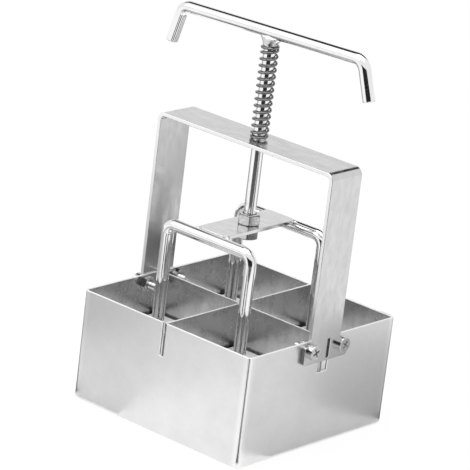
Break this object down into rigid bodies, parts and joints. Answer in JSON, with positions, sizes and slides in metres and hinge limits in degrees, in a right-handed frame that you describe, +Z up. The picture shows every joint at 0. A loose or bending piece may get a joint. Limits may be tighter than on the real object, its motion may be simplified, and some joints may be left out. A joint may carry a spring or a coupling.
{
  "type": "soil blocker",
  "caption": "Hand press that forms square blocks of potting soil: an open sheet-metal box with crossed dividers, a strap frame and a sprung plunger with a bar handle.",
  "frame": {"origin": "middle of the box's bottom rim", "axes": "+Z up along the push rod; +X to the right along the handle bar, the strap frame and the ejector bows; +Y to the rear"},
  "size_m": [0.128, 0.107, 0.1942],
  "materials": {
    "galvanised_sheet": "zinc-coated sheet steel, satin and slightly mottled",
    "divider_sheet": "zinc-coated sheet steel, mottled",
    "strap_steel": "flat bar, bright and smooth, softly glossy",
    "bridge_steel": "flat bar, bright, nearly mirror smooth",
    "plate_steel": "zinc-coated sheet steel, satin",
    "plated_rod": "bright plated round rod",
    "spring_wire": "bright plated spring wire",
    "zinc_fastener": "bright zinc plate"
  },
  "bodies": {
    "frame": {"box_shell": "galvanised_sheet", "divider_crosswise": "divider_sheet", "divider_lengthwise": "divider_sheet", "frame_nut_left_front": "zinc_fastener", "frame_nut_left_rear": "zinc_fastener", "frame_nut_right_front": "zinc_fastener", "frame_nut_right_rear": "zinc_fastener", "frame_screw_left_front": "zinc_fastener", "frame_screw_left_rear": "zinc_fastener", "frame_screw_right_front": "zinc_fastener", "frame_screw_right_rear": "zinc_fastener", "return_spring": "spring_wire", "strap_frame": "strap_steel"},
    "plunger": {"bridge_plate": "bridge_steel", "dimple_screw_front_left": "zinc_fastener", "dimple_screw_front_right": "zinc_fastener", "dimple_screw_rear_left": "zinc_fastener", "dimple_screw_rear_right": "zinc_fastener", "ejector_bow_front": "plated_rod", "ejector_bow_rear": "plated_rod", "handle_bar": "plated_rod", "lower_nut": "zinc_fastener", "press_plate_front_left": "plate_steel", "press_plate_front_right": "plate_steel", "press_plate_rear_left": "plate_steel", "press_plate_rear_right": "plate_steel", "push_rod": "plated_rod", "upper_nut": "zinc_fastener"}
  },
  "joints": [
    {"name": "plunger_slide", "type": "slide", "parent": "frame", "child": "plunger", "axis": [0, 0, -1], "range_m": [0, 0.026], "stiffness_N_per_m": 3300, "springref_m": -0.0015, "deforming": ["return_spring"]}
  ]
}
